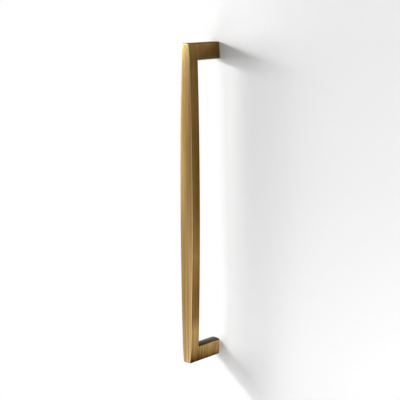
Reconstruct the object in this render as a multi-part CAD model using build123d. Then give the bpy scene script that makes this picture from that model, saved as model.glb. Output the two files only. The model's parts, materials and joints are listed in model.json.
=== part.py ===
"""Long cabinet pull in aged satin brass: two legs and a tapering bar, cast in one piece.

The bar stands upright in front of the door or drawer front. Seen from the front it is
widest half way up and draws in along a long bow towards both legs, then faster over the
legs, so both ends are narrow. Its front is crowned from side to side, and its back, where
the fingers go, is flat. Each leg runs straight back, flush with the end of the bar. The
inner face of the leg is crowned from side to side too, and its foot has a blind tapped hole
for a screw put in through the door.

Frame: +Z runs up the bar, +Y points into the door, and Y = 0 is the face of the door.
The origin lies in that face, half way between the two screw holes. Millimetres.
"""
import math
import os

from build123d import *

# Driving dimensions of the casting
HOLE_CENTRES = 304.8
LEG_THICKNESS = 15.9
PROJECTION = 42.9
BAR_DEPTH = 11.5
WIDTH_AT_MIDDLE = 16.9
WIDTH_AT_TAPER = 12.5
WIDTH_AT_ENDS = 9.4
END_TAPER_LENGTH = 20.0
FRONT_CROWN_RADIUS = 62.0
LEG_CROWN_RADIUS = 16.0
LEG_CROWN_RISE = 1.2

# Radii of the brushed edges and of the two corners that the fingers reach
ARRIS_RADIUS = 0.8
FOOT_EDGE_RADIUS = 0.3
INNER_CORNER_RADIUS = 1.0

# Blind hole for a number 8 machine screw, drawn plain at the full diameter of its thread
SCREW_DIAMETER = 4.17
HOLE_DEPTH = 13.0
DRILL_POINT_ANGLE = 118.0
HOLE_MOUTH_DIAMETER = 5.0
HOLE_MOUTH_ANGLE = 90.0

# Places that follow from those sizes
END_Z = (HOLE_CENTRES + LEG_THICKNESS) / 2
LEG_INNER_Z = (HOLE_CENTRES - LEG_THICKNESS) / 2
FRONT_Y = -PROJECTION
BAR_BACK_Y = FRONT_Y + BAR_DEPTH
SCREW_HEIGHTS = (-HOLE_CENTRES / 2, HOLE_CENTRES / 2)


def crowned_section():
    """Level section of the stock, twice as wide as the pull, with its crowned front edge."""
    half_width = WIDTH_AT_MIDDLE
    crown_height = FRONT_CROWN_RADIUS - math.sqrt(FRONT_CROWN_RADIUS**2 - half_width**2)
    crown_edge_y = FRONT_Y + crown_height
    with BuildSketch(Plane.XY) as section:
        with BuildLine():
            ThreePointArc((-half_width, crown_edge_y), (0, FRONT_Y), (half_width, crown_edge_y))
            Polyline((half_width, crown_edge_y), (half_width, 0), (-half_width, 0),
                     (-half_width, crown_edge_y))
        make_face()
    return section.sketch


def front_outline():
    """Outline from the front: a long bow up each side, then a tighter one to each end."""
    taper_start = (WIDTH_AT_TAPER / 2, END_Z - END_TAPER_LENGTH)
    end_corner = (WIDTH_AT_ENDS / 2, END_Z)
    with BuildSketch(Plane.XZ) as outline:
        with BuildLine():
            bow = TangentArc((WIDTH_AT_MIDDLE / 2, 0), taper_start, tangent=(0, 1))
            TangentArc(taper_start, end_corner, tangent=bow % 1)
            Line(end_corner, (0, END_Z))
            mirror(about=Plane.YZ)
            mirror(about=Plane.XZ)
        make_face()
    return outline.sketch


def finger_gap():
    """The space between bar, legs and door, cut back over the crown of each leg."""
    half_width = WIDTH_AT_TAPER  # past both sides of the bar
    apex = LEG_INNER_Z - LEG_CROWN_RISE
    edge = apex + LEG_CROWN_RADIUS - math.sqrt(LEG_CROWN_RADIUS**2 - half_width**2)
    with BuildPart() as gap:
        with BuildSketch(Plane.XZ):
            with BuildLine():
                ThreePointArc((-half_width, edge), (0, apex), (half_width, edge))
                Line((half_width, edge), (half_width, 0))
                Line((-half_width, edge), (-half_width, 0))
                mirror(about=Plane.XZ)
            make_face()
        extrude(amount=-BAR_BACK_Y)
        corners = gap.edges().group_by(Axis.Y)[0].filter_by(GeomType.CIRCLE)
        fillet(corners, INNER_CORNER_RADIUS)
    return gap.part


def tapped_hole():
    """The space of one screw hole: flared mouth, straight wall and drill point."""
    wall_radius = SCREW_DIAMETER / 2
    mouth_radius = HOLE_MOUTH_DIAMETER / 2
    mouth_depth = (mouth_radius - wall_radius) / math.tan(math.radians(HOLE_MOUTH_ANGLE / 2))
    point_depth = wall_radius / math.tan(math.radians(DRILL_POINT_ANGLE / 2))
    with BuildPart() as hole:
        with BuildSketch(Plane.XY):
            with BuildLine():
                Polyline((0, 0), (mouth_radius, 0), (wall_radius, -mouth_depth),
                         (wall_radius, -HOLE_DEPTH), (0, -HOLE_DEPTH - point_depth), close=True)
            make_face()
        revolve(axis=Axis.Y)
    return hole.part


def casting():
    """Crowned stock trimmed to the front outline, opened behind, edged and drilled."""
    with BuildPart() as pull:
        extrude(crowned_section(), END_Z, both=True)
        extrude(front_outline(), PROJECTION * 2, both=True, mode=Mode.INTERSECT)
        add(finger_gap(), mode=Mode.SUBTRACT)

        foot_edges = pull.edges().group_by(Axis.Y)[-1]
        corner_seams = pull.edges().filter_by_position(
            Axis.Y, BAR_BACK_Y, BAR_BACK_Y + INNER_CORNER_RADIUS
        ).filter_by_position(Axis.X, -ARRIS_RADIUS, ARRIS_RADIUS)
        fillet(pull.edges() - foot_edges - corner_seams, ARRIS_RADIUS)
        fillet(pull.edges().group_by(Axis.Y)[-1], FOOT_EDGE_RADIUS)

        with Locations([(0, 0, height) for height in SCREW_HEIGHTS]):
            add(tapped_hole(), mode=Mode.SUBTRACT)
    return pull.part


os.makedirs("parts", exist_ok=True)
export_step(casting(), "parts/pull.step")
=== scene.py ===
"""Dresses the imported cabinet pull: aged satin brass, screw threads, a pale wall and a window's light."""
import json
import math
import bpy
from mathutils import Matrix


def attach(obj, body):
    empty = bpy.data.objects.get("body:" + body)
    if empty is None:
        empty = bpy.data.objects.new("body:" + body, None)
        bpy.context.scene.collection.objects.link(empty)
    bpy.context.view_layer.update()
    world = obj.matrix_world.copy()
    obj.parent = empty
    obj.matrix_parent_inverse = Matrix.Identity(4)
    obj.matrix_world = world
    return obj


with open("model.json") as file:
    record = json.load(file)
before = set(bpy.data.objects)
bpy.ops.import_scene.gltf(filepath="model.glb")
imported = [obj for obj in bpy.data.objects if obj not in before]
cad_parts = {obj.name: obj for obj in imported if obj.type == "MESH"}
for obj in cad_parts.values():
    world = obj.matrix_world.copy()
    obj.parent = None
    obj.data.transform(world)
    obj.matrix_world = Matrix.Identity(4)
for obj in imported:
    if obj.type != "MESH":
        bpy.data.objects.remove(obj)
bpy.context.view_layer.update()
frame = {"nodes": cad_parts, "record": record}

from types import SimpleNamespace

import bmesh
import bpy
from bpy.props import FloatProperty, FloatVectorProperty, IntProperty, PointerProperty
from mathutils import Quaternion, Vector
from mathutils.geometry import convex_hull_2d

bl_info = {
    "name": "Cabinet pull dress",
    "version": (1, 0, 0),
    "blender": (4, 5, 0),
    "location": "View3D > Sidebar > Pull",
    "description": "Gives a long brass cabinet pull its aged satin finish, threads, stage and camera",
    "category": "Object",
}

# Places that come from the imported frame, in metres. The door's face is the plane Y = 0
MM = 0.001
PULL = frame["nodes"]["pull"]
MOUNTS = {mount["name"]: mount for mount in frame["record"]["mounts"]}
SCREW_HOLES = {"upper_screw_thread": "upper_screw_hole", "lower_screw_thread": "lower_screw_hole"}
OPENING_LOW, OPENING_HIGH = frame["record"]["physics"]["openings"][0]["box_m"]
BAR_BACK_Y = OPENING_LOW[1]
LEG_INNER_Z = OPENING_HIGH[2]

# Points nearer than this are one point, and a point nearer than this to the door lies on it
SAME_PLACE = 0.001 * MM

# The setting that eases a change in and out
SMOOTH = {"interpolation_type": "SMOOTHSTEP"}


def linear(hex_colour):
    """An sRGB colour such as "B08A4C" as the linear RGBA that a shader socket takes."""
    channels = [int(hex_colour[i:i + 2], 16) / 255 for i in (0, 2, 4)]
    return [c / 12.92 if c <= 0.04045 else ((c + 0.055) / 1.055) ** 2.4 for c in channels] + [1.0]


def add_node(tree, kind, settings=None, **inputs):
    """Adds one node, sets its properties and its sockets, and links each socket given an output.

    A socket is named with _ for its spaces, or as _0, _1 and so on by its number.
    """
    node = tree.nodes.new(kind)
    for name, value in (settings or {}).items():
        setattr(node, name, value)
    for name, value in inputs.items():
        key = int(name[1:]) if name[0] == "_" else name.replace("_", " ")
        if isinstance(value, bpy.types.NodeSocket):
            tree.links.new(value, node.inputs[key])
        else:
            node.inputs[key].default_value = value
    return node


def ramp_by_height(tree, height, rows):
    """A colour ramp along Z, from rows of a height in millimetres and the RGBA values there."""
    lowest, highest = rows[0][0] * MM, rows[-1][0] * MM
    level = add_node(tree, "ShaderNodeMapRange", Value=height, From_Min=lowest, From_Max=highest)
    ramp = add_node(tree, "ShaderNodeValToRGB", Fac=level.outputs[0])
    stops = ramp.color_ramp.elements
    while len(stops) < len(rows):
        stops.new(1.0)
    for stop, (row_height, values) in zip(stops, rows):
        stop.position = (row_height * MM - lowest) / (highest - lowest)
        stop.color = values
    return ramp


def new_material(name):
    """An empty node material."""
    material = bpy.data.materials.new(name)
    material.use_nodes = True
    material.node_tree.nodes.clear()
    return material


def add_piece(name, form):
    """A new object from a finished form, with doubles merged and every face turned outwards."""
    bmesh.ops.remove_doubles(form, verts=form.verts, dist=SAME_PLACE)
    bmesh.ops.recalc_face_normals(form, faces=form.faces)
    mesh = bpy.data.meshes.new(name)
    form.to_mesh(mesh)
    form.free()
    piece = bpy.data.objects.new(name, mesh)
    bpy.context.scene.collection.objects.link(piece)
    return piece


# The settings that a user would change

class FinishSettings(bpy.types.PropertyGroup):
    """Colours and grain of the aged brass."""

    brushed: FloatVectorProperty(
        name="Brushed brass", description="Where the belt has cut through the patina",
        subtype="COLOR", size=4, min=0, max=1, default=linear("9E8151"))
    patina: FloatVectorProperty(
        name="Patina", description="Brown left where the belt didn't reach",
        subtype="COLOR", size=4, min=0, max=1, default=linear("473217"))
    # Partly painted shade: the sides are browner and darker than the front
    side_patina_and_shade: FloatVectorProperty(
        name="Side patina", description="Redder brown left on the sides",
        subtype="COLOR", size=4, min=0, max=1, default=linear("6D4F26"))
    # Partly painted highlight: the yellower brass at the front's upper end stands in for the highlight
    # there
    fresh_and_highlight: FloatVectorProperty(
        name="Fresh brass", description="Yellower brass at the upper end of the front, cut deepest",
        subtype="COLOR", size=4, min=0, max=1, default=linear("AE9A60"))
    # Partly painted reflection: where the sides' shares run high just above the lower leg, this brass
    # paints a bright reflection
    side_brass_and_reflection: FloatVectorProperty(
        name="Side brass", description="Warmer brass where the belt has cut the sides",
        subtype="COLOR", size=4, min=0, max=1, default=linear("AA8754"))
    copper: FloatVectorProperty(
        name="Reddish streaks", description="Warmer streaks where zinc has gone from the surface",
        subtype="COLOR", size=4, min=0, max=1, default=linear("996C44"))
    # Partly painted light: this brown was made lighter so that the back of the bar shows in the dim light
    # behind it
    back_patina_and_painted_light: FloatVectorProperty(
        name="Back patina",
        description="Brown left on the back of the bar, polished a little by fingers",
        subtype="COLOR", size=4, min=0, max=1, default=linear("5A4224"))
    # This brown also paints the shade along the bar's back edge and the other edges
    unbrushed_patina_and_shade: FloatVectorProperty(
        name="Unbrushed", description="Dark brown left inside the legs, where no belt goes",
        subtype="COLOR", size=4, min=0, max=1, default=linear("1C1510"))
    # Partly painted highlight: the bright edges also stand in for the highlight along the rounded front
    # edges
    worn_and_highlit: FloatVectorProperty(
        name="Worn edge", description="Bright metal along the edges that hands reach",
        subtype="COLOR", size=4, min=0, max=1, default=linear("E8CC96"))
    roughness: FloatProperty(
        name="Roughness", description="Roughness of the brushed metal", subtype="FACTOR",
        min=0, max=1, default=0.34)
    line_width: FloatProperty(
        name="Line width", description="Width of the belt's lines, drawn coarse enough to show",
        subtype="DISTANCE", unit="LENGTH", min=0.05 * MM, max=5 * MM, default=1.4 * MM)
    line_length: FloatProperty(
        name="Line length", description="Length of the belt's lines",
        subtype="DISTANCE", unit="LENGTH", min=1 * MM, max=400 * MM, default=110 * MM)


class ThreadSettings(bpy.types.PropertyGroup):
    """Sizes of the thread in the screw holes, a number 8-32 unified coarse thread."""

    pitch: FloatProperty(
        name="Pitch", description="Distance from one turn to the next",
        subtype="DISTANCE", unit="LENGTH", min=0.2 * MM, max=3 * MM, default=0.794 * MM)
    minor_diameter: FloatProperty(
        name="Minor diameter", description="Diameter over the thread's crests",
        subtype="DISTANCE", unit="LENGTH", min=1 * MM, max=6 * MM, default=3.45 * MM)
    steps: IntProperty(
        name="Steps", description="Straight pieces in one turn", min=8, max=64, default=24)


class StageSettings(bpy.types.PropertyGroup):
    """Wall, floor and light."""

    wall: FloatVectorProperty(
        name="Wall", description="Pale paint of the wall and the floor",
        subtype="COLOR", size=4, min=0, max=1, default=linear("F2F2F2"))
    window: FloatProperty(
        name="Window", description="Power of the strip window's light in watts", min=0, default=4.8)
    left_card: FloatProperty(
        name="Left card", description="Power of the small card beside the wall in watts", min=0,
        default=2.4)
    left_box: FloatProperty(
        name="Left box", description="Power of the big soft box on the left in watts", min=0,
        default=5.0)
    low_card: FloatProperty(
        name="Low card", description="Power of the low card in front in watts", min=0, default=1.1)
    side_card: FloatProperty(
        name="Side card", description="Power of the card on the right in watts", min=0, default=1.1)
    room: FloatProperty(
        name="Room", description="Strength of the even light from all round", min=0, default=0.20)
    floor_drop: FloatProperty(
        name="Floor", description="How far the floor lies under the middle of the pull",
        subtype="DISTANCE", unit="LENGTH", min=0.2, max=2, default=0.6)


# The brass

# How the patina was cut away, with painted light and shade, by height in millimetres: the shares
# that the belt cut away on the front and on the sides, how much more it cut along the lower leg,
# and the wear of the edges. The shares also paint light: the front brighter towards both ends is a
# painted highlight, the sides darker along most of their length and bright just above the lower
# leg are painted shade and reflection, the lower leg lighter towards its foot is a painted
# reflection, and the front edges brighter along the middle and lower part are a painted highlight.
# A share below 0 is darker than the patina
CUTS_AND_PAINTED_LIGHT = (
    (-160, (1.30, -0.60, 0.3, 0.0)),
    (-154, (1.15, -0.35, 1.0, 0.5)),
    (-145, (1.02, 0.90, 0.8, 0.6)),
    (-128, (0.90, 1.40, 0.4, 0.55)),
    (-112, (0.80, 0.50, 0.0, 0.6)),
    (-88, (0.76, 0.36, 0.0, 0.8)),
    (-50, (0.78, 0.84, 0.0, 0.9)),
    (5, (0.92, 0.22, 0.0, 0.8)),
    (41, (1.02, 0.14, 0.0, 0.6)),
    (105, (0.82, 0.22, 0.0, 0.7)),
    (122, (0.78, 0.20, 0.0, 0.4)),
    (143, (0.86, 0.30, 0.0, 0.1)),
    (160, (1.08, 0.44, 0.0, 0.0)),
)
# A ramp holds values from 0 to 1, which stand for the shares between these two
LEAST_CUT, MOST_CUT = -0.6, 2.0

# Sizes of the marks. The belt's real lines are about 0.1 mm wide. They are drawn about a pixel
# wide, so that they show, and the bands are groups of them
BAND_WIDTH_IN_LINES, BAND_LENGTH_IN_LINES = 4, 2
GRIT_WIDTH, GRIT_LENGTH = 0.25 * MM, 12 * MM
BLOTCH = 28 * MM
GRIT_DEPTH, BLOTCH_DEPTH = 0.03 * MM, 0.1 * MM

# Most values of a noise lie in this range. Over it the lines and bands change the cut, and the
# lines the roughness, by up to these amounts either way, and some bands turn reddish
NOISE = dict(From_Min=0.3, From_Max=0.7)
LINE_CUT, BAND_CUT, LINE_ROUGHNESS = 0.32, 0.10, 0.05
REDDISH_BANDS = dict(From_Min=0.55, From_Max=0.75, To_Max=0.2)

# Where things change along Z
LOWER_HALF = dict(From_Min=40 * MM, From_Max=-40 * MM)
UPPER_END_HIGHLIGHT = dict(From_Min=135 * MM, From_Max=165 * MM)
COARSER_BELT = dict(To_Min=0.5, To_Max=1.0)
LACQUERED_ENDS = dict(From_Min=90 * MM, From_Max=158 * MM, To_Min=0.12, To_Max=0.9)
MORE_LACQUER_ABOVE = dict(From_Min=-150 * MM, From_Max=150 * MM, To_Min=0.4, To_Max=1.1)

# Where things change along Y. The bar's back edge stays as dark as its lack of cut times the
# value after it: partly patina, partly painted shade
BAR_BACK_EDGE = dict(From_Min=BAR_BACK_Y - 2.2 * MM, From_Max=BAR_BACK_Y - 0.6 * MM, To_Max=-0.35)
DARK_SHARE_OF_BACK_EDGE = -0.8
# Painted reflection: the lower leg's side turns lighter towards its foot
LEG_LIGHTER_TO_FOOT = dict(From_Min=BAR_BACK_Y - 2 * MM, From_Max=0, To_Min=0.6, To_Max=2.4)
POOLED_LACQUER = dict(From_Min=BAR_BACK_Y, From_Max=0, To_Min=0.05, To_Max=0.35)

# Where things change with the Y of the normal, which is -1 on the front, 0 on the sides and 1 on
# the back
AROUND_TO_SIDE = dict(From_Min=-0.97, From_Max=-0.5)
WORN_AND_HIGHLIT_FRONT_EDGES = dict(From_Min=-0.75, From_Max=-0.97)
OTHER_EDGES = dict(From_Min=-0.45, From_Max=-0.1, To_Max=0.75)
AROUND_TO_BACK = dict(From_Min=0.15, From_Max=0.6)
LACQUERED_FRONT = dict(From_Min=-0.4, From_Max=-0.9, To_Min=0.04)

# The largest of the normal's three parts is 1 on a flat side and falls over an edge. On a face
# across a leg its Z is above the second value
EDGE_BEND = dict(From_Min=0.992, From_Max=0.965)
ACROSS_LEG = 0.75

# Height times the normal's Z is below 0 on a face that looks towards the other leg
NOT_INSIDE_LEGS = dict(From_Min=-60 * MM, From_Max=-20 * MM)
INSIDE_LEGS = dict(From_Min=-50 * MM, From_Max=-105 * MM)

# Colours of the glancing reflection on the brushed metal and on the hidden, which is smoother
BRUSHED_GLANCE, HIDDEN_GLANCE = linear("C8A878"), linear("E4DACC")
HIDDEN_ROUGHNESS = 0.26


def read_point(tree):
    """Where a point of the pull lies and how it faces, as the sockets that the brass works from."""
    place = add_node(tree, "ShaderNodeTexCoord").outputs["Object"]
    normal = add_node(tree, "ShaderNodeNewGeometry").outputs["Normal"]
    position = add_node(tree, "ShaderNodeSeparateXYZ", Vector=place).outputs
    facing = add_node(tree, "ShaderNodeSeparateXYZ", Vector=normal).outputs
    flatness = add_node(tree, "ShaderNodeVectorMath", {"operation": "ABSOLUTE"}, _0=normal)
    flat = add_node(tree, "ShaderNodeSeparateXYZ", Vector=flatness.outputs[0]).outputs
    turned_away = add_node(tree, "ShaderNodeMapRange", SMOOTH, Value=facing["Y"], **AROUND_TO_SIDE)
    inward = add_node(tree, "ShaderNodeMath", {"operation": "MULTIPLY"}, _0=position["Z"],
                      _1=facing["Z"])
    from_middle = add_node(tree, "ShaderNodeMath", {"operation": "ABSOLUTE"}, _0=position["Z"])
    on_bar = add_node(tree, "ShaderNodeMath", {"operation": "LESS_THAN"}, _0=from_middle.outputs[0],
                      _1=LEG_INNER_Z)
    back_edge = add_node(tree, "ShaderNodeMapRange", Value=position["Y"], **BAR_BACK_EDGE)
    # The belt runs along Z, and along Y on the faces across the legs
    across_leg = add_node(tree, "ShaderNodeMath", {"operation": "GREATER_THAN"}, _0=flat["Z"],
                          _1=ACROSS_LEG)
    turned = add_node(tree, "ShaderNodeCombineXYZ", X=position["X"], Y=position["Z"],
                      Z=position["Y"])
    along_belt = add_node(tree, "ShaderNodeMix", {"data_type": "VECTOR"}, _0=across_leg.outputs[0],
                          _4=place, _5=turned.outputs[0])
    return SimpleNamespace(
        place=place, normal=normal, position=position, facing=facing, flat=flat,
        turned_away=turned_away.outputs[0], inward=inward.outputs[0],
        from_middle=from_middle.outputs[0], on_bar=on_bar.outputs[0],
        back_edge=back_edge.outputs[0], across_leg=across_leg.outputs[0],
        along_belt=along_belt.outputs[1])


def belt_noise(tree, point, width, length, detail):
    """Noise drawn out along the belt, one cell about width across and length long."""
    stretch = add_node(tree, "ShaderNodeMapping", {"vector_type": "POINT"}, Vector=point.along_belt,
                       Scale=(1 / width, 1 / width, 1 / length))
    return add_node(tree, "ShaderNodeTexNoise", Vector=stretch.outputs[0], Scale=1.0,
                    Detail=detail, Roughness=0.6).outputs["Fac"]


def belt_cut(tree, point, by_height, belt, bands):
    """How far the belt has cut through the patina, on the front and on the sides."""
    shares = add_node(tree, "ShaderNodeSeparateColor", Color=by_height.outputs["Color"]).outputs
    front, side = (add_node(tree, "ShaderNodeMapRange", Value=shares[channel], To_Min=LEAST_CUT,
                            To_Max=MOST_CUT).outputs[0] for channel in ("Red", "Green"))
    # Less along the back edge of the bar, which the belt rides over, and darker there as painted shade
    side = add_node(tree, "ShaderNodeMath", {"operation": "MULTIPLY_ADD"}, _0=point.back_edge,
                    _1=point.on_bar, _2=side).outputs[0]
    # More along the lower leg, towards its foot: a painted reflection that makes it lighter there
    lighter_to_foot = add_node(tree, "ShaderNodeMapRange", Value=point.position["Y"], **LEG_LIGHTER_TO_FOOT)
    side = add_node(tree, "ShaderNodeMath", {"operation": "MULTIPLY_ADD"}, _0=lighter_to_foot.outputs[0],
                    _1=shares["Blue"], _2=side).outputs[0]
    cut = add_node(tree, "ShaderNodeMix", {"data_type": "FLOAT"}, _0=point.turned_away, _2=front,
                   _3=side).outputs[0]
    # The lower half was brushed with a coarser belt, and its leg coarser still
    lower = add_node(tree, "ShaderNodeMapRange", SMOOTH, Value=point.position["Z"], **LOWER_HALF)
    depth = add_node(tree, "ShaderNodeMapRange", Value=lower.outputs[0], **COARSER_BELT)
    depth = add_node(tree, "ShaderNodeMath", {"operation": "ADD"}, _0=depth.outputs[0],
                     _1=shares["Blue"])
    line_cut = add_node(tree, "ShaderNodeMapRange", Value=belt, **NOISE, To_Min=-LINE_CUT,
                        To_Max=LINE_CUT)
    line_cut = add_node(tree, "ShaderNodeMath", {"operation": "MULTIPLY"}, _0=line_cut.outputs[0],
                        _1=depth.outputs[0])
    band_cut = add_node(tree, "ShaderNodeMapRange", Value=bands, **NOISE, To_Min=-BAND_CUT,
                        To_Max=BAND_CUT)
    for part in (line_cut, band_cut):
        cut = add_node(tree, "ShaderNodeMath", {"operation": "ADD"}, _0=cut,
                       _1=part.outputs[0]).outputs[0]
    return cut


def brushed_colour(tree, settings, point, cut):
    """The patina of each face and its bare brass, mixed by the cut. The sides' darker patina is partly
    painted shade and their bright brass low down a painted reflection.
    """
    uncut = add_node(tree, "ShaderNodeMix", {"data_type": "RGBA"}, _0=point.turned_away,
                     _6=settings.patina, _7=settings.side_patina_and_shade)
    # Painted highlight: the front turns yellower and brighter towards its upper end
    upper_end = add_node(tree, "ShaderNodeMapRange", SMOOTH, Value=point.position["Z"], **UPPER_END_HIGHLIGHT)
    front_brass_and_highlight = add_node(tree, "ShaderNodeMix", {"data_type": "RGBA"}, _0=upper_end.outputs[0],
                           _6=settings.brushed, _7=settings.fresh_and_highlight)
    bare = add_node(tree, "ShaderNodeMix", {"data_type": "RGBA"}, _0=point.turned_away,
                    _6=front_brass_and_highlight.outputs[2], _7=settings.side_brass_and_reflection)
    return add_node(tree, "ShaderNodeMix", {"data_type": "RGBA", "clamp_factor": False}, _0=cut,
                    _6=uncut.outputs[2], _7=bare.outputs[2]).outputs[2]


def edge_wear(tree, point, by_height):
    """How bright an edge is, partly wear and partly painted highlight, and how dark, partly patina and
    partly painted shade.
    """
    side_or_front = add_node(tree, "ShaderNodeMath", {"operation": "MAXIMUM"}, _0=point.flat["X"],
                             _1=point.flat["Y"])
    widest = add_node(tree, "ShaderNodeMath", {"operation": "MAXIMUM"},
                      _0=side_or_front.outputs[0], _1=point.flat["Z"])
    edge = add_node(tree, "ShaderNodeMapRange", Value=widest.outputs[0], **EDGE_BEND).outputs[0]
    outer = add_node(tree, "ShaderNodeMapRange", SMOOTH, Value=point.facing["Y"],
                     **WORN_AND_HIGHLIT_FRONT_EDGES)
    not_inside = add_node(tree, "ShaderNodeMapRange", Value=point.inward, **NOT_INSIDE_LEGS)
    # Wear and painted highlight along the front edges, set by height
    worn_and_highlit = edge
    for part in (outer.outputs[0], not_inside.outputs[0], by_height.outputs["Alpha"]):
        worn_and_highlit = add_node(tree, "ShaderNodeMath", {"operation": "MULTIPLY"}, _0=worn_and_highlit,
                        _1=part).outputs[0]
    # The other edges and the back edge of the bar are darker: partly patina where neither belt nor hands
    # reach, partly painted shade
    other = add_node(tree, "ShaderNodeMapRange", SMOOTH, Value=point.facing["Y"], **OTHER_EDGES)
    darker_other_edges = add_node(tree, "ShaderNodeMath", {"operation": "MULTIPLY"}, _0=edge,
                      _1=other.outputs[0])
    shade_along_back = add_node(tree, "ShaderNodeMath", {"operation": "MULTIPLY"}, _0=point.back_edge,
                          _1=DARK_SHARE_OF_BACK_EDGE)
    shade_along_back = add_node(tree, "ShaderNodeMath", {"operation": "MULTIPLY"},
                          _0=shade_along_back.outputs[0], _1=point.on_bar)
    dark = add_node(tree, "ShaderNodeMath", {"operation": "MAXIMUM"}, _0=darker_other_edges.outputs[0],
                    _1=shade_along_back.outputs[0])
    return worn_and_highlit, dark.outputs[0]


def lacquer(tree, point, hidden):
    """How much lacquer is left: little in the middle of the bar, where hands wore it off."""
    gloss = add_node(tree, "ShaderNodeMapRange", SMOOTH, Value=point.from_middle, **LACQUERED_ENDS)
    more_above = add_node(tree, "ShaderNodeMapRange", Value=point.position["Z"],
                          **MORE_LACQUER_ABOVE)
    on_front = add_node(tree, "ShaderNodeMapRange", SMOOTH, Value=point.facing["Y"],
                        **LACQUERED_FRONT)
    for part in (more_above, on_front):
        gloss = add_node(tree, "ShaderNodeMath", {"operation": "MULTIPLY"}, _0=gloss.outputs[0],
                         _1=part.outputs[0])
    # Inside the legs it has run together towards the door
    pooled = add_node(tree, "ShaderNodeMapRange", Value=point.position["Y"], **POOLED_LACQUER)
    return add_node(tree, "ShaderNodeMix", {"data_type": "FLOAT"}, _0=hidden,
                    _2=gloss.outputs[0], _3=pooled.outputs[0]).outputs[0]


def aged_brass(settings):
    """Cast brass browned by a patina bath, relieved by a belt along the bar, then lacquered.

    To the eye it is satin gold with straight lines on the front, browner on the sides and in the
    corners that the belt didn't reach, and bright along the edges that hands wear. The browner sides
    and darker edges are partly painted shade, the bright edges and the front's brighter ends partly
    painted highlight.
    """
    material = new_material("aged_satin_brass")
    tree = material.node_tree
    point = read_point(tree)
    belt = belt_noise(tree, point, settings.line_width, settings.line_length, 2.0)
    bands = belt_noise(tree, point, BAND_WIDTH_IN_LINES * settings.line_width,
                       BAND_LENGTH_IN_LINES * settings.line_length, 1.0)
    grit = belt_noise(tree, point, GRIT_WIDTH, GRIT_LENGTH, 2.0)
    blotches = add_node(tree, "ShaderNodeTexNoise", Vector=point.place, Scale=1 / BLOTCH,
                        Detail=2.0)

    rows = [(row_height, ((front - LEAST_CUT) / (MOST_CUT - LEAST_CUT),
                          (side - LEAST_CUT) / (MOST_CUT - LEAST_CUT), leg, wear))
            for row_height, (front, side, leg, wear) in CUTS_AND_PAINTED_LIGHT]
    by_height = ramp_by_height(tree, point.position["Z"], rows)
    colour = brushed_colour(tree, settings, point, belt_cut(tree, point, by_height, belt, bands))
    red = add_node(tree, "ShaderNodeMapRange", Value=bands, **REDDISH_BANDS).outputs[0]
    worn_and_highlit, dark = edge_wear(tree, point, by_height)
    # Inside the legs and on the back of the bar the patina is whole
    inside = add_node(tree, "ShaderNodeMapRange", SMOOTH, Value=point.inward,
                      **INSIDE_LEGS).outputs[0]
    behind = add_node(tree, "ShaderNodeMapRange", SMOOTH, Value=point.facing["Y"],
                      **AROUND_TO_BACK).outputs[0]
    hidden = add_node(tree, "ShaderNodeMath", {"operation": "MAXIMUM"}, _0=inside,
                      _1=behind).outputs[0]
    for reach, layer in ((red, settings.copper), (worn_and_highlit, settings.worn_and_highlit), (dark, settings.unbrushed_patina_and_shade),
                         (behind, settings.back_patina_and_painted_light), (inside, settings.unbrushed_patina_and_shade)):
        colour = add_node(tree, "ShaderNodeMix", {"data_type": "RGBA"}, _0=reach, _6=colour,
                          _7=layer).outputs[2]
    glance = add_node(tree, "ShaderNodeMix", {"data_type": "RGBA"}, _0=hidden, _6=BRUSHED_GLANCE,
                      _7=HIDDEN_GLANCE)

    roughness = add_node(tree, "ShaderNodeMapRange", Value=belt, **NOISE,
                         To_Min=settings.roughness - LINE_ROUGHNESS,
                         To_Max=settings.roughness + LINE_ROUGHNESS)
    roughness = add_node(tree, "ShaderNodeMix", {"data_type": "FLOAT"}, _0=hidden,
                         _2=roughness.outputs[0], _3=HIDDEN_ROUGHNESS)
    relief = add_node(tree, "ShaderNodeBump", Strength=0.15, Distance=GRIT_DEPTH, Height=grit)
    swell = add_node(tree, "ShaderNodeBump", Strength=0.2, Distance=BLOTCH_DEPTH,
                     Height=blotches.outputs["Fac"], Normal=relief.outputs[0])
    # Brushed metal spreads its highlights across the lines
    belt_path = add_node(tree, "ShaderNodeMix", {"data_type": "VECTOR"}, _0=point.across_leg,
                         _4=(0, 0, 1), _5=(0, 1, 0))
    across_lines = add_node(tree, "ShaderNodeVectorMath", {"operation": "CROSS_PRODUCT"},
                            _0=belt_path.outputs[1], _1=point.normal)
    shader = add_node(tree, "ShaderNodeBsdfPrincipled", Base_Color=colour, Metallic=1.0,
                      Roughness=roughness.outputs[0], Anisotropic=0.65, Normal=swell.outputs[0],
                      Tangent=across_lines.outputs[0], Specular_Tint=glance.outputs[2],
                      Coat_Weight=lacquer(tree, point, hidden), Coat_Roughness=0.2, Coat_IOR=1.7)
    add_node(tree, "ShaderNodeOutputMaterial", Surface=shader.outputs[0])
    return material


class PULL_OT_finish(bpy.types.Operator):
    """Puts the aged satin brass on the pull"""

    bl_idname = "pull.finish"
    bl_label = "Finish the pull"

    def execute(self, context):
        PULL.material_slots[0].material = aged_brass(context.scene.pull_finish)
        return {"FINISHED"}


# The threads in the screw holes

# Width and length of the ring marks that the tap left, and the brass in and between them
TAP_RING, TAP_RING_LENGTH = 0.08 * MM, 2 * MM
DULL_CUT, BRIGHT_CUT = linear("A07F45"), linear("DDBE80")
CUT_ROUGHNESS = dict(To_Min=0.2, To_Max=0.4)

# Widths of a ridge at its root and at its crest, in pitches, and how deep its root is sunk
RIDGE_ROOT, RIDGE_CREST = 7 / 8, 1 / 4
RIDGE_ROOT_SINK = 0.03 * MM
# The last of the bore, which a tap doesn't reach
RUN_OUT = 1.6 * MM


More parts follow.
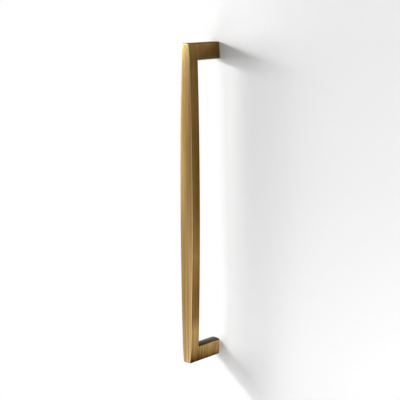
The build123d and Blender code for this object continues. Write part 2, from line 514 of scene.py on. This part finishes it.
def cut_brass():
    """Brass freshly cut by a tap, which the patina bath hardly reached: bright, with tool rings."""
    material = new_material("cut_brass")
    tree = material.node_tree
    place = add_node(tree, "ShaderNodeTexCoord").outputs["Object"]
    stretch = add_node(tree, "ShaderNodeMapping", {"vector_type": "POINT"}, Vector=place,
                       Scale=(1 / TAP_RING_LENGTH, 1 / TAP_RING, 1 / TAP_RING_LENGTH))
    rings = add_node(tree, "ShaderNodeTexNoise", Vector=stretch.outputs[0], Scale=1.0, Detail=1.0)
    colour = add_node(tree, "ShaderNodeMix", {"data_type": "RGBA"}, _0=rings.outputs["Fac"],
                      _6=DULL_CUT, _7=BRIGHT_CUT).outputs[2]
    roughness = add_node(tree, "ShaderNodeMapRange", Value=rings.outputs["Fac"], **CUT_ROUGHNESS)
    shader = add_node(tree, "ShaderNodeBsdfPrincipled", Base_Color=colour, Metallic=1.0,
                      Roughness=roughness.outputs[0])
    add_node(tree, "ShaderNodeOutputMaterial", Surface=shader.outputs[0])
    return material


def thread_ridge(name, mount, settings):
    """The helical ridge of a tapped hole, spun from its own section, from mouth to run-out."""
    wall = mount["dims"]["r_mm"] * MM
    length = mount["dims"]["length_mm"] * MM
    middle = Vector(mount["pos_m"])
    mouth_y = middle.y + length / 2
    turns = int((length - RUN_OUT) / settings.pitch)

    form = bmesh.new()
    root, crest = wall + RIDGE_ROOT_SINK, settings.minor_diameter / 2
    root_half, crest_half = RIDGE_ROOT * settings.pitch / 2, RIDGE_CREST * settings.pitch / 2
    section = [form.verts.new((middle.x + radius, mouth_y + offset, middle.z))
               for radius, offset in ((root, root_half), (root, -root_half),
                                      (crest, -crest_half), (crest, crest_half))]
    face = form.faces.new(section)
    bmesh.ops.spin(form, geom=[face, *face.edges, *face.verts], cent=middle, axis=(0, 1, 0),
                   dvec=(0, -settings.pitch / settings.steps, 0), angle=math.tau * turns,
                   steps=turns * settings.steps, use_merge=False, use_normal_flip=False,
                   use_duplicate=False)
    # The countersink of the hole's mouth cuts the first turn down to nothing
    for vert in form.verts:
        out = Vector((vert.co.x - middle.x, vert.co.z - middle.z))
        cone = wall + max(vert.co.y - mouth_y + settings.pitch / 2, 0)
        if out.length < cone:
            out = out.normalized() * cone
            vert.co.x, vert.co.z = middle.x + out.x, middle.z + out.y
    return add_piece(name, form)


class PULL_OT_threads(bpy.types.Operator):
    """Winds the thread into both screw holes"""

    bl_idname = "pull.threads"
    bl_label = "Tap the screw holes"

    def execute(self, context):
        material = cut_brass()
        for name, mount in SCREW_HOLES.items():
            ridge = thread_ridge(name, MOUNTS[mount], context.scene.pull_thread)
            ridge.data.materials.append(material)
            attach(ridge, "root")
        return {"FINISHED"}


# The stage. Lengths are in metres

BACKDROP_HALF_WIDTH = 2.5
WALL_TOP = 1.6
FLOOR_FRONT = -2.5
COVE_RADIUS = 0.06
COVE_STEPS = 12
TOWARDS_ROOM = (0, -1, 1)
HOLE_INSET = 0.15 * MM
# Decimals of a metre to which points of a foot's outline are rounded, a tenth of a millimetre
OUTLINE_DECIMALS = 4

# Place and size of each soft light. The window's place comes from the slopes of both legs' shadows
LAMPS = {
    "window": ((-0.609, -0.42, 0.304), (0.42, 0.08)),
    "left_card": ((-0.72, -0.30, 0.16), (0.25, 0.25)),
    "left_box": ((-1.25, -0.55, 0.0), (0.7, 0.6)),
    "low_card": ((-0.35, -0.92, -0.42), (0.5, 0.3)),
    "side_card": ((0.45, -0.9, -0.1), (0.3, 0.5)),
}

# Painted light on the wall: how far right of the pull's middle the wall is painted white beside it,
# by height, both in millimetres. Under the lower leg the edge of the white follows the leg's shadow,
# as a painted shadow edge
PAINTED_LIGHT_ENDS = ((-205, 62), (-163, 2), (-150, 1), (-136, 16), (-100, 17.5), (0, 12), (100, 9), (132, 7),
              (170, -13))
# The ramp's 0 and 1 stand for this far left and right of the middle, in metres
FURTHEST_END = 0.08
END_SOFTNESS = dict(From_Min=8 * MM, From_Max=-8 * MM)

# Painted light and shadow: how much the wall is lifted towards white on the right: more to the far
# right, more lower down beside the pull, but less where the shadows of bar and lower leg meet, which
# paints those shadows darker, and most low on the right
FAR_RIGHT = dict(From_Min=0.04, From_Max=0.28, To_Max=0.5)
LOWER_DOWN = dict(From_Min=0.16, From_Max=-0.14, To_Max=0.4)
BESIDE_PULL = dict(From_Min=0.008, From_Max=0.022)
UNDER_LEG = dict(From_Min=-0.12, From_Max=-0.165, To_Max=-0.5)
IN_BAR_SHADOW = dict(From_Min=0.085, From_Max=0.062)
LOW_RIGHT = dict(From_Min=0.06, From_Max=0.12, To_Max=0.28)
LOWEST = dict(From_Min=0.03, From_Max=-0.14)

# Size and depth of the grain that a paint roller leaves
ROLLER_GRAIN, ROLLER_DEPTH = 3 * MM, 0.05 * MM

# The camera, fitted to the pull's outlines in the photograph. Its place is in metres, its
# angles in degrees and its lens in millimetres
CAMERA_PLACE = Vector((0.74894, -0.81693, 0.22016))
CAMERA_AZIMUTH, CAMERA_ELEVATION, CAMERA_ROLL = 43.322, 11.17, -0.173
CAMERA_LENS = 100.486
CAMERA_NEAREST = 0.05


def painted_light_share(tree, place):
    """Painted light: how far the wall is lifted to white, wholly on the left and partly on the right,
    shaped around the shadows.
    """
    rows = []
    for row_height, reach in PAINTED_LIGHT_ENDS:
        share = (reach * MM + FURTHEST_END) / (2 * FURTHEST_END)
        rows.append((row_height, (share, share, share, 1)))
    ends = ramp_by_height(tree, place.outputs["Z"], rows)
    end = add_node(tree, "ShaderNodeMapRange", Value=ends.outputs["Color"], To_Min=-FURTHEST_END,
                   To_Max=FURTHEST_END)
    past_end = add_node(tree, "ShaderNodeMath", {"operation": "SUBTRACT"}, _0=place.outputs["X"],
                        _1=end.outputs[0])
    left = add_node(tree, "ShaderNodeMapRange", SMOOTH, Value=past_end.outputs[0], **END_SOFTNESS)

    right = add_node(tree, "ShaderNodeMapRange", SMOOTH, Value=place.outputs["X"], **FAR_RIGHT)
    low = add_node(tree, "ShaderNodeMapRange", Value=place.outputs["Z"], **LOWER_DOWN)
    beside = add_node(tree, "ShaderNodeMapRange", Value=place.outputs["X"], **BESIDE_PULL)
    under = add_node(tree, "ShaderNodeMapRange", Value=place.outputs["Z"], **UNDER_LEG)
    shadow = add_node(tree, "ShaderNodeMapRange", Value=place.outputs["X"], **IN_BAR_SHADOW)
    # Painted shadow: less white where the shadows of bar and lower leg meet
    kept = add_node(tree, "ShaderNodeMath", {"operation": "MULTIPLY_ADD"}, _0=under.outputs[0],
                    _1=shadow.outputs[0], _2=1.0)
    low = add_node(tree, "ShaderNodeMath", {"operation": "MULTIPLY"}, _0=low.outputs[0],
                   _1=kept.outputs[0])
    low_right = add_node(tree, "ShaderNodeMapRange", SMOOTH, Value=place.outputs["X"], **LOW_RIGHT)
    lowest = add_node(tree, "ShaderNodeMapRange", Value=place.outputs["Z"], **LOWEST)
    for part, share in ((low, beside), (low_right, lowest)):
        right = add_node(tree, "ShaderNodeMath", {"operation": "MULTIPLY_ADD"}, _0=part.outputs[0],
                         _1=share.outputs[0], _2=right.outputs[0])
    return add_node(tree, "ShaderNodeMath", {"operation": "MAXIMUM"}, _0=left.outputs[0],
                    _1=right.outputs[0]).outputs[0]


def pale_paint(settings):
    """Pale matt paint of the wall and floor, rolled on, with painted light: an emitted white shaped after
    the window's light and the shadows.

    The camera and the brass see it lifted towards white. It is open from behind, so that the
    feet and screw holes show in views from the back.
    """
    material = new_material("pale_matt_paint")
    tree = material.node_tree
    place = add_node(tree, "ShaderNodeTexCoord").outputs["Object"]
    lift = painted_light_share(tree, add_node(tree, "ShaderNodeSeparateXYZ", Vector=place))
    rays = add_node(tree, "ShaderNodeLightPath")
    seen = rays.outputs["Is Camera Ray"]
    for kind in ("Is Glossy Ray", "Is Transmission Ray"):
        seen = add_node(tree, "ShaderNodeMath", {"operation": "MAXIMUM"}, _0=seen,
                        _1=rays.outputs[kind]).outputs[0]
    share = add_node(tree, "ShaderNodeMath", {"operation": "MULTIPLY"}, _0=lift, _1=seen)
    grain = add_node(tree, "ShaderNodeTexNoise", Vector=place, Scale=1 / ROLLER_GRAIN, Detail=2.0)
    bump = add_node(tree, "ShaderNodeBump", Strength=0.03, Distance=ROLLER_DEPTH,
                    Height=grain.outputs["Fac"])
    paint = add_node(tree, "ShaderNodeBsdfDiffuse", Color=settings.wall, Normal=bump.outputs[0])
    # Painted light: the emitted white that the share mixes in
    white = add_node(tree, "ShaderNodeEmission", Strength=1.0)
    seen_paint = add_node(tree, "ShaderNodeMixShader", _0=share.outputs[0], _1=paint.outputs[0],
                          _2=white.outputs[0])
    behind = add_node(tree, "ShaderNodeNewGeometry").outputs["Backfacing"]
    both = add_node(tree, "ShaderNodeMixShader", _0=behind, _1=seen_paint.outputs[0],
                    _2=add_node(tree, "ShaderNodeBsdfTransparent").outputs[0])
    add_node(tree, "ShaderNodeOutputMaterial", Surface=both.outputs[0])
    return material


def foot_outline(sign):
    """The outline in X and Z of one foot's flat face on the door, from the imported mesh."""
    face = sorted({(round(v.co.x, OUTLINE_DECIMALS), round(v.co.z, OUTLINE_DECIMALS))
                   for v in PULL.data.vertices if v.co.y > -SAME_PLACE and v.co.z * sign > 0})
    return [Vector(face[i]) for i in convex_hull_2d(face)]


def open_wall(form, outline):
    """Cuts the wall along a foot's outline, a little inside it, and takes out what it covers."""
    middle = sum(outline, Vector((0, 0))) / len(outline)
    sides = []
    for start, end in zip(outline, outline[1:] + outline[:1]):
        out = (end - start).orthogonal().normalized()
        out *= math.copysign(1, out.dot(start - middle))
        sides.append((start - HOLE_INSET * out, out))
    for point, out in sides:
        bmesh.ops.bisect_plane(form, geom=[*form.verts, *form.edges, *form.faces], dist=SAME_PLACE,
                               plane_co=(point.x, 0, point.y), plane_no=(out.x, 0, out.y))
    covered = [face for face in form.faces
               if all((face.calc_center_median().xz - point).dot(out) < 0 for point, out in sides)]
    bmesh.ops.delete(form, geom=covered, context="FACES")


def build_backdrop(settings):
    """Wall and floor as one sheet with a cove between them, open where the two feet stand."""
    form = bmesh.new()
    floor_z = -settings.floor_drop
    profile = [form.verts.new((-BACKDROP_HALF_WIDTH, y, z))
               for y, z in ((0, WALL_TOP), (0, floor_z), (FLOOR_FRONT, floor_z))]
    line = [form.edges.new(profile[i:i + 2]) for i in (0, 1)]
    swept = bmesh.ops.extrude_edge_only(form, edges=line)
    bmesh.ops.translate(form, vec=(2 * BACKDROP_HALF_WIDTH, 0, 0),
                        verts=[v for v in swept["geom"] if isinstance(v, bmesh.types.BMVert)])
    corner = [edge for edge in form.edges
              if all(abs(v.co.y) + abs(v.co.z - floor_z) < MM for v in edge.verts)]
    bmesh.ops.bevel(form, geom=corner, offset=COVE_RADIUS, segments=COVE_STEPS, profile=0.5,
                    affect="EDGES", material=-1)
    for sign in (1, -1):
        open_wall(form, foot_outline(sign))
    backdrop = add_piece("backdrop", form)
    if backdrop.data.polygons[0].normal.dot(TOWARDS_ROOM) < 0:
        backdrop.data.flip_normals()
    backdrop.data.materials.append(pale_paint(settings))


def add_lamp(name, size, power, place):
    """A rectangular soft light that faces the middle of the pull."""
    lamp = bpy.data.lights.new(name, "AREA")
    lamp.shape = "RECTANGLE"
    lamp.size, lamp.size_y = size
    lamp.energy = power
    light = bpy.data.objects.new(name, lamp)
    light.location = place
    light.rotation_mode = "QUATERNION"
    light.rotation_quaternion = place.to_track_quat("Z", "Y")
    bpy.context.scene.collection.objects.link(light)


def light_room(scene, settings):
    """An even grey room that shows white behind the object, and the soft lights."""
    world = bpy.data.worlds.new("room")
    scene.world = world
    world.use_nodes = True
    tree = world.node_tree
    tree.nodes.clear()
    seen = add_node(tree, "ShaderNodeLightPath").outputs["Is Camera Ray"]
    strength = add_node(tree, "ShaderNodeMix", {"data_type": "FLOAT"}, _0=seen, _2=settings.room,
                        _3=1.0)
    sky = add_node(tree, "ShaderNodeBackground", Color=(1, 1, 1, 1), Strength=strength.outputs[0])
    add_node(tree, "ShaderNodeOutputWorld", Surface=sky.outputs[0])
    for name, (lamp_place, size) in LAMPS.items():
        add_lamp(name, size, getattr(settings, name), Vector(lamp_place))


def place_camera(scene):
    """The photograph's camera."""
    camera = bpy.data.cameras.new("camera")
    camera.lens = CAMERA_LENS
    camera.clip_start = CAMERA_NEAREST
    viewer = bpy.data.objects.new("camera", camera)
    azimuth, elevation = math.radians(CAMERA_AZIMUTH), math.radians(CAMERA_ELEVATION)
    back = Vector((math.sin(azimuth) * math.cos(elevation), -math.cos(azimuth) * math.cos(elevation),
                   math.sin(elevation)))
    viewer.rotation_mode = "QUATERNION"
    viewer.rotation_quaternion = (back.to_track_quat("Z", "Y")
                                  @ Quaternion((0, 0, 1), math.radians(CAMERA_ROLL)))
    viewer.location = CAMERA_PLACE
    scene.collection.objects.link(viewer)
    scene.camera = viewer


class PULL_OT_stage(bpy.types.Operator):
    """Sets up the pale wall, the lights and the camera"""

    bl_idname = "pull.stage"
    bl_label = "Set the stage"

    def execute(self, context):
        scene = context.scene
        scene.view_settings.view_transform = "Standard"
        build_backdrop(scene.pull_stage)
        light_room(scene, scene.pull_stage)
        place_camera(scene)
        return {"FINISHED"}


class PULL_PT_panel(bpy.types.Panel):
    """Lists the settings and the steps"""

    bl_idname = "PULL_PT_panel"
    bl_label = "Cabinet pull"
    bl_space_type = "VIEW_3D"
    bl_region_type = "UI"
    bl_category = "Pull"

    def draw(self, context):
        scene = context.scene
        for operator, settings in ((PULL_OT_finish, scene.pull_finish),
                                   (PULL_OT_threads, scene.pull_thread),
                                   (PULL_OT_stage, scene.pull_stage)):
            column = self.layout.column(align=True)
            column.operator(operator.bl_idname)
            for name in type(settings).__annotations__:
                column.prop(settings, name)


CLASSES = (FinishSettings, ThreadSettings, StageSettings, PULL_OT_finish, PULL_OT_threads,
           PULL_OT_stage, PULL_PT_panel)


def register():
    """Registers the classes and puts their settings on the scene."""
    for cls in CLASSES:
        bpy.utils.register_class(cls)
    bpy.types.Scene.pull_finish = PointerProperty(type=FinishSettings)
    bpy.types.Scene.pull_thread = PointerProperty(type=ThreadSettings)
    bpy.types.Scene.pull_stage = PointerProperty(type=StageSettings)


def unregister():
    """Takes the settings and the classes away again."""
    for name in ("pull_finish", "pull_thread", "pull_stage"):
        delattr(bpy.types.Scene, name)
    for cls in reversed(CLASSES):
        bpy.utils.unregister_class(cls)


def main():
    """Dresses the pull."""
    register()
    bpy.ops.pull.finish()
    bpy.ops.pull.threads()
    bpy.ops.pull.stage()


if __name__ == "__main__":
    main()
